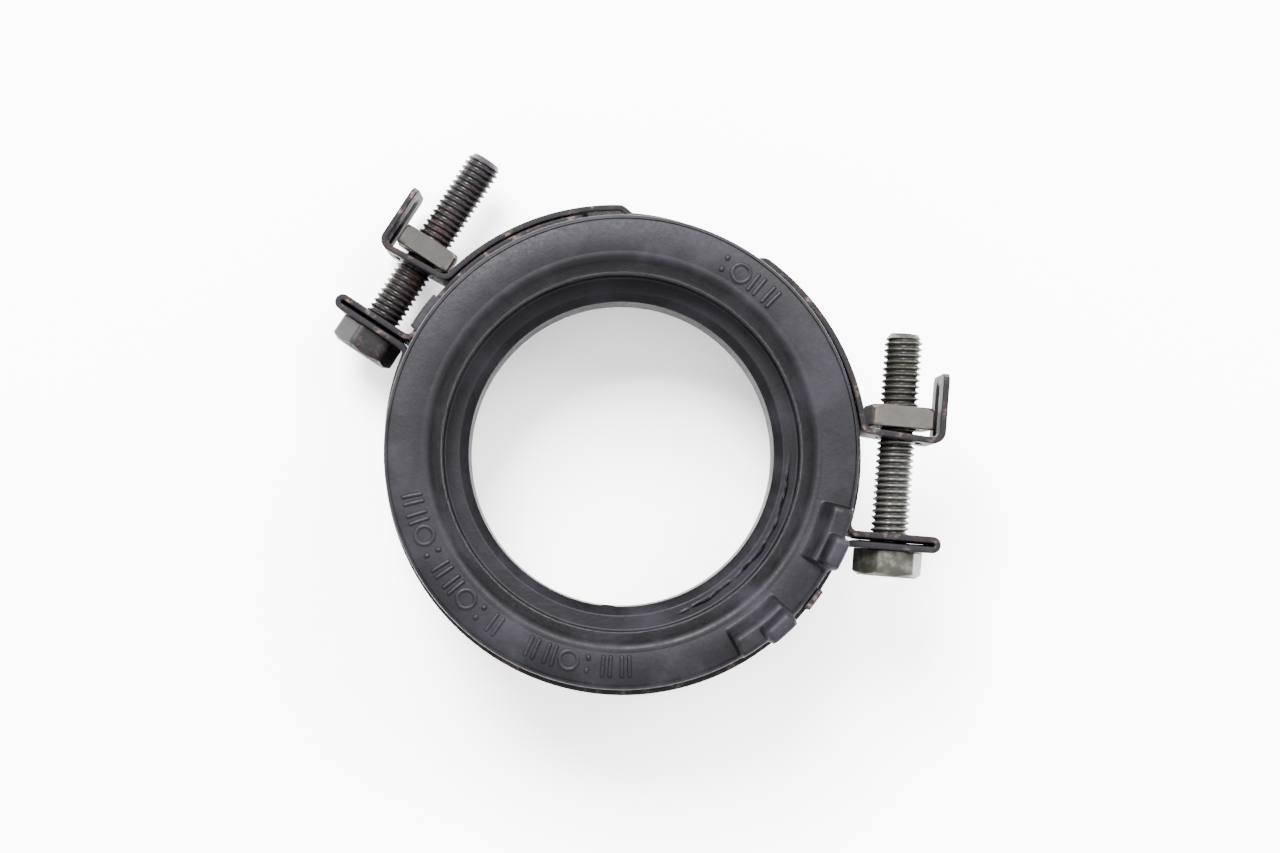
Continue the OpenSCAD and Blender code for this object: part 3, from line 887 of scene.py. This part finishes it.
def build_screw(k, head_turn, materials):
    """Hexagon head with a chamfered crown, and a shank with a helical thread."""
    c = k.c
    seat = k.seat_y
    turn, factor = polygon_columns(6, head_turn, 1.6, 12)
    flat = c.head_af / 2 * factor
    corner = flat / (c.head_af / 2) - 1
    rows, edge = [], []

    def row(r, y, wear=0.0):
        rows.append(around(k, np.broadcast_to(r, turn.shape), y, turn))
        edge.append(np.broadcast_to(wear, turn.shape))

    # head, from the middle of its far face out to its rim and down to the seat
    crown = c.head_af / 2 * 0.94
    far = seat - c.head_h
    row(0.05, far + 0.22)
    row(crown * 0.55, far + 0.20)
    row(crown * 0.82, far + 0.12)
    row(crown * 0.93, far, 0.4)
    row(crown, far + 0.03, 0.5)
    drop = np.clip(flat - crown, 0, None) * 0.62
    row(np.minimum(flat, crown * 1.05), far + np.minimum(drop, 0.2) + 0.03, 0.4)
    row(flat - 0.04, far + drop + 0.05, 0.9)
    row(flat, far + drop + 0.14, corner * 3)
    for y in np.linspace(0.35, 0.95, 4):
        row(flat, far + drop + (c.head_h - 0.12 - drop) * y, corner * 3)
    row(flat, seat - 0.12, 0.5)
    row(flat - 0.1, seat, 0.6)
    row(c.screw_r + 0.5, seat)
    row(c.screw_r + 0.1, seat + 0.05)
    # shank, with the thread fading in under the head and a chamfered tip
    shank = np.linspace(seat + 0.1, seat + c.screw_l, int(c.screw_l / (PITCH / 11)))
    root = np.zeros((len(rows), turn.size))
    for y in shank:
        depth = thread_depth(y, turn) * smooth((y - seat - 0.6) / 1.0)
        tip = max(0.0, y - (seat + c.screw_l - 0.9)) * 0.75
        r = np.minimum(c.screw_r - c.thread_h * depth, c.screw_r - tip)
        row(r, y, 0.35 * (1 - depth))
        root = np.vstack([root, depth])
    row(1.0, seat + c.screw_l)
    row(0.05, seat + c.screw_l)
    root = np.vstack([root, np.zeros((2, turn.size))])
    shell = Shell()
    points = np.stack(rows)
    along = points[:, :, 1]
    between = smooth((k.nut_y - along) / 1.5) * (along > seat)
    middle = root * np.exp(-((along - k.nut_y - 1.0) / 6.5) ** 4)
    shell.tube(points, edge=np.stack(edge), root=root, between=between, middle=middle)
    piece = shell.build(k.name + "_screw_threaded", materials, k.matrix)
    return finish_piece(piece, k.name + "_screw", [k.name + "_screw"])


def build_nut(k, materials):
    """Square nut with fallen corners and a thread that runs in step with its screw's."""
    c = k.c
    turn, factor = polygon_columns(4, c.nut_turn, 1.9, 19)
    flat = c.nut_w / 2 * factor
    crown = c.nut_w * 0.7 - 0.65
    y0, y1 = k.nut_y, k.nut_y + c.nut_t
    rows, edge, root = [], [], []

    def row(r, y, wear=0.0, dirt=0.0):
        rows.append(around(k, np.broadcast_to(r, turn.shape), y, turn))
        edge.append(np.broadcast_to(wear, turn.shape))
        root.append(np.broadcast_to(dirt, turn.shape))

    # outside, from the seat face over the rim to the far face, then back through the thread
    corner = (factor - 1) * 2
    fall = np.clip(flat - crown, 0, None) * 0.8
    row(2.9, y0)
    row(3.6, y0)
    row(flat - 0.12, y0, 0.5)
    row(flat, y0 + 0.12, 0.6)
    for part in (0.15, 0.5, 0.85):
        row(flat, y0 + 0.12 + (c.nut_t - 0.3 - fall) * part, corner)
    row(flat, y1 - fall - 0.12, 0.6)
    row(flat - 0.1, y1 - fall - 0.02, 0.9)
    row(np.minimum(flat - 0.12, crown), y1 - 0.01, 0.7)
    row(np.minimum(flat - 0.2, crown - 0.1), y1, 0.3)
    row(3.5, y1)
    row(2.85, y1, 0.5)
    for y in np.linspace(y1 - 0.05, y0 + 0.05, 36):
        depth = thread_depth(y, turn)
        sink = np.clip(0.35 - min(y - y0, y1 - y), 0, 1)
        row(np.maximum(c.screw_r + 0.05 - c.thread_h * depth, 2.2 + sink * 1.7), y, 0, depth)
    shell = Shell()
    shell.add(np.stack(rows), grid_faces(len(rows), turn.size, True, True),
              edge=np.stack(edge), root=np.stack(root))
    piece = shell.build(k.name + "_nut_threaded", materials, k.matrix)
    return finish_piece(piece, k.name + "_nut", [k.name + "_nut"])


# ---------------------------------------------------------------- operators

class COUPLING_OT_sleeve(Operator):
    """Builds the moulded rubber sleeve with its lugs, teeth and index boss"""
    bl_idname = "coupling.sleeve"
    bl_label = "Rubber sleeve"

    def execute(self, context):
        s = in_mm(context.scene.coupling_sleeve)
        piece = build_sleeve(s, [rubber_material(context.scene.coupling_finish)])
        finish_piece(piece, "sleeve", ["rubber_sleeve"])
        return {"FINISHED"}


class COUPLING_OT_marks(Operator):
    """Builds the plain raised marks on the top face of the sleeve"""
    bl_idname = "coupling.marks"
    bl_label = "Moulded marks"

    def execute(self, context):
        s = in_mm(context.scene.coupling_sleeve)
        rubber = rubber_material(context.scene.coupling_finish, "marked_rubber")
        finish_piece(build_marks(s, [rubber]), "sleeve")
        return {"FINISHED"}


class COUPLING_OT_bands(Operator):
    """Builds the two one-piece clamp bands with their ears, tongues and tangs"""
    bl_idname = "coupling.bands"
    bl_label = "Clamp bands"

    def execute(self, context):
        c = in_mm(context.scene.coupling_clamp)
        for name in CLAMPS:
            steel = band_material(context.scene.coupling_finish, name + "_band_steel")
            build_band(Clamp(name, c), [steel])
        return {"FINISHED"}


class COUPLING_OT_screws(Operator):
    """Builds the two hexagon screws with their rolled threads"""
    bl_idname = "coupling.screws"
    bl_label = "Screws"

    def execute(self, context):
        c = in_mm(context.scene.coupling_clamp)
        finish = context.scene.coupling_finish
        upper = screw_material(finish, "plated_screw", finish.zinc, finish.olive, 0.66)
        lower = screw_material(finish, "tarnished_screw", finish.dark_steel, finish.oxide_and_root_shade, 0.56)
        build_screw(Clamp("upper", c), 8.0, [upper])
        build_screw(Clamp("lower", c), 14.0, [lower])
        return {"FINISHED"}


class COUPLING_OT_nuts(Operator):
    """Builds the two square nuts with their tapped holes"""
    bl_idname = "coupling.nuts"
    bl_label = "Square nuts"

    def execute(self, context):
        c = in_mm(context.scene.coupling_clamp)
        finish = context.scene.coupling_finish
        build_nut(Clamp("upper", c), [nut_material(finish, "bright_nut", 1.05)])
        build_nut(Clamp("lower", c), [nut_material(finish, "dull_nut", 0.46)])
        return {"FINISHED"}


class COUPLING_OT_stage(Operator):
    """Lays the pale floor and sets the soft lights and the camera"""
    bl_idname = "coupling.stage"
    bl_label = "Floor, light and camera"

    def execute(self, context):
        scene = context.scene
        mesh = bpy.data.meshes.new("floor")
        half, under = 2, -0.02 * MM
        mesh.from_pydata([(-half, -half, under), (half, -half, under), (half, half, under),
                          (-half, half, under)], [], [(0, 1, 2, 3)])
        floor = bpy.data.objects.new("floor", mesh)
        scene.collection.objects.link(floor)
        g = Graph("pale_floor", Roughness=0.75)
        g.set("Base Color", (0.93, 0.93, 0.93))
        mesh.materials.append(g.material)
        world = bpy.data.worlds.new("studio")
        scene.world = world
        world.use_nodes = True
        back = world.node_tree.nodes["Background"]
        back.inputs["Color"].default_value = (1, 1, 1, 1)
        back.inputs["Strength"].default_value = 5.4
        for name, at, size, power in (("key", (-0.14, 0.40, 0.60), 0.36, 40.0),
                                      ("fill", (0.36, 0.28, 0.50), 0.34, 12.0)):
            light = bpy.data.lights.new(name, "AREA")
            light.shape = "DISK"
            light.size = size
            light.energy = power
            lamp = bpy.data.objects.new(name, light)
            lamp.location = at
            lamp.rotation_euler = (-Vector(at)).to_track_quat("-Z", "Y").to_euler()
            scene.collection.objects.link(lamp)
        self.place_camera(scene)
        return {"FINISHED"}

    @staticmethod
    def place_camera(scene):
        """Looks down the bore, tilted a few degrees off it."""
        up = Vector((0.0156, 0.0500, 1.0)).normalized()
        right = Vector((1, 0, 0)) - up * up.x
        right.normalize()
        away = up.cross(right)
        rotation = Matrix((right, away, up))          # world axes, in the camera's terms
        depth = 298.6 * MM
        target = Vector((0, 0, 30 * MM))
        seen = Vector((-0.007595, -0.010338, -1)) * depth     # the target, from the camera
        camera = bpy.data.cameras.new("camera")
        camera.sensor_width = 36
        camera.lens = 66.656
        camera.clip_start = 0.01
        view = bpy.data.objects.new("camera", camera)
        view.matrix_world = Matrix.Translation(target - rotation @ seen) @ rotation.to_4x4()
        scene.collection.objects.link(view)
        scene.camera = view


class COUPLING_PT_panel(Panel):
    """Lists the builders of the coupling's pieces"""
    bl_label = "Sleeve coupling"
    bl_idname = "COUPLING_PT_panel"
    bl_space_type = "VIEW_3D"
    bl_region_type = "UI"
    bl_category = "Coupling"

    def draw(self, context):
        for step in STEPS:
            self.layout.operator(step.bl_idname)


STEPS = (COUPLING_OT_sleeve, COUPLING_OT_marks, COUPLING_OT_bands, COUPLING_OT_screws,
         COUPLING_OT_nuts, COUPLING_OT_stage)
GROUPS = (CouplingSleeveSizes, CouplingClampSizes, CouplingFinish)


def register():
    for cls in (*GROUPS, *STEPS, COUPLING_PT_panel):
        bpy.utils.register_class(cls)
    bpy.types.Scene.coupling_sleeve = PointerProperty(type=CouplingSleeveSizes)
    bpy.types.Scene.coupling_clamp = PointerProperty(type=CouplingClampSizes)
    bpy.types.Scene.coupling_finish = PointerProperty(type=CouplingFinish)


def unregister():
    del bpy.types.Scene.coupling_finish
    del bpy.types.Scene.coupling_clamp
    del bpy.types.Scene.coupling_sleeve
    for cls in reversed((*GROUPS, *STEPS, COUPLING_PT_panel)):
        bpy.utils.unregister_class(cls)


def main():
    register()
    for step in STEPS:
        group, name = step.bl_idname.split(".")
        getattr(getattr(bpy.ops, group), name)()
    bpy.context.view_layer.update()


if __name__ == "__main__":
    main()
